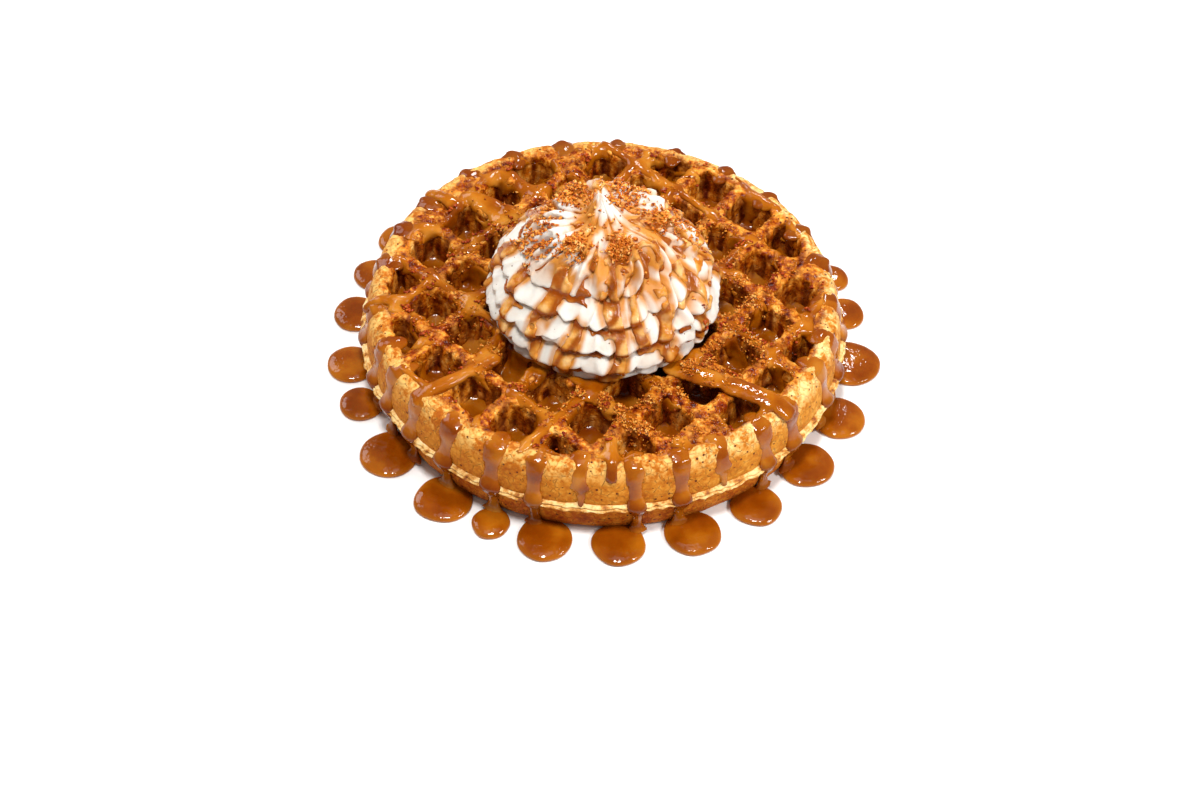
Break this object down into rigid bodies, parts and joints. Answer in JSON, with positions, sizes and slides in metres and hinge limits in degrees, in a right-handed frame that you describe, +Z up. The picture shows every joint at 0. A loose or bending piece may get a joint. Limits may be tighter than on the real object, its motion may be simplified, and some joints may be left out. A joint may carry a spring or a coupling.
{
  "type": "round belgian waffle with toppings",
  "caption": "Round waffle with deep square pockets under runny caramel, a tall piped swirl of whipped cream in its middle and round puddles of sauce about its foot.",
  "frame": {"origin": "middle of the waffle's underside, on the ridge that crosses there", "axes": "+Z up, away from the plate; -Y towards the side that the picture sees from; +X to that viewer's right"},
  "size_m": [0.2195, 0.2153, 0.0867],
  "materials": {
    "baked_batter": "matte, toasted crust",
    "whipped_cream": "soft satin",
    "caramel_sauce": "wet gloss"
  },
  "bodies": {
    "root": {"waffle": "baked_batter", "whipped_cream": "whipped_cream", "caramel_puddle_01": "caramel_sauce", "caramel_puddle_02": "caramel_sauce", "caramel_puddle_03": "caramel_sauce", "caramel_puddle_04": "caramel_sauce", "caramel_puddle_05": "caramel_sauce", "caramel_puddle_06": "caramel_sauce", "caramel_puddle_07": "caramel_sauce", "caramel_puddle_08": "caramel_sauce", "caramel_puddle_09": "caramel_sauce", "caramel_puddle_10": "caramel_sauce", "caramel_puddle_11": "caramel_sauce", "caramel_puddle_12": "caramel_sauce", "caramel_puddle_13": "caramel_sauce", "caramel_puddle_14": "caramel_sauce", "caramel_puddle_15": "caramel_sauce", "caramel_puddle_16": "caramel_sauce", "caramel_puddle_17": "caramel_sauce", "caramel_puddle_18": "caramel_sauce", "caramel_puddle_19": "caramel_sauce", "caramel_puddle_20": "caramel_sauce", "caramel_puddle_21": "caramel_sauce", "caramel_puddle_22": "caramel_sauce", "caramel_puddle_23": "caramel_sauce", "caramel_puddle_24": "caramel_sauce"}
  },
  "joints": []
}
